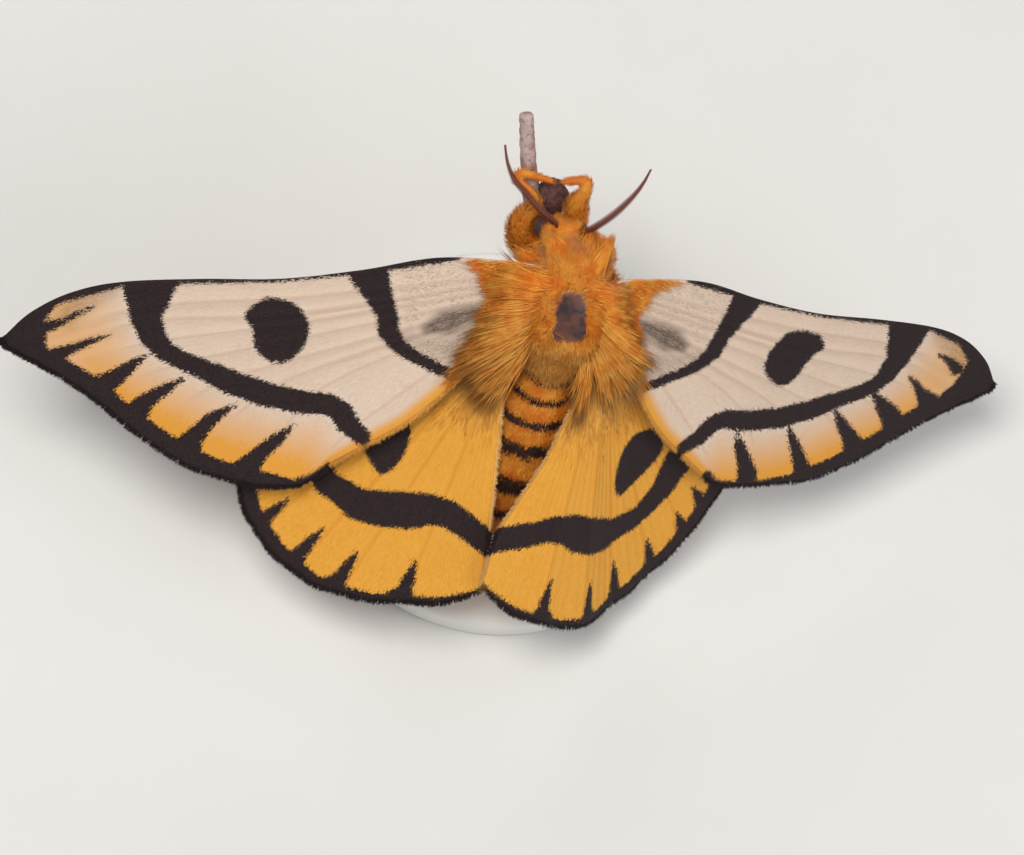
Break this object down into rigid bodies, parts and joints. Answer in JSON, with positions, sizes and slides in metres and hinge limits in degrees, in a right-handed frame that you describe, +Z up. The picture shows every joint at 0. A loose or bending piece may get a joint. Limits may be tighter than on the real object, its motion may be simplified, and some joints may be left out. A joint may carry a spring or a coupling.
{
  "type": "sheep moth display model",
  "caption": "Life-size still model of a black-banded cream and orange day-flying moth, resting head up on a cut twig over a small round stand.",
  "frame": {"origin": "centre of the stand's underside, on the floor", "axes": "+Z up, +Y towards the head along the slope of the body, +X to the moth's own right"},
  "size_m": [0.0688, 0.0287, 0.0331],
  "materials": {
    "orange_hair": "dense orange hair, matte",
    "banded_hair": "short orange hair with black rings, matte",
    "cream_scales": "powdery cream scales with black bands, matte",
    "gold_scales": "powdery golden orange scales with black bands, matte",
    "dark_shell": "dark glossy compound eye",
    "brown_shell": "satin reddish brown",
    "leg_hair": "short orange hair, matte",
    "bark": "thin pinkish grey bark",
    "steel": "fine brushed rod",
    "painted_base": "matte warm white"
  },
  "bodies": {
    "root": {"thorax": "orange_hair", "head": "orange_hair", "eye_left": "dark_shell", "eye_right": "dark_shell", "antenna_left": "brown_shell", "antenna_right": "brown_shell", "abdomen": "banded_hair", "forewing_left": "cream_scales", "forewing_right": "cream_scales", "hindwing_left": "gold_scales", "hindwing_right": "gold_scales", "leg_front_left": "leg_hair", "leg_front_right": "leg_hair", "leg_middle_left": "leg_hair", "leg_middle_right": "leg_hair", "leg_hind_left": "leg_hair", "leg_hind_right": "leg_hair", "perch_twig": "bark", "stand_rod": "steel", "stand_base": "painted_base"}
  },
  "joints": []
}
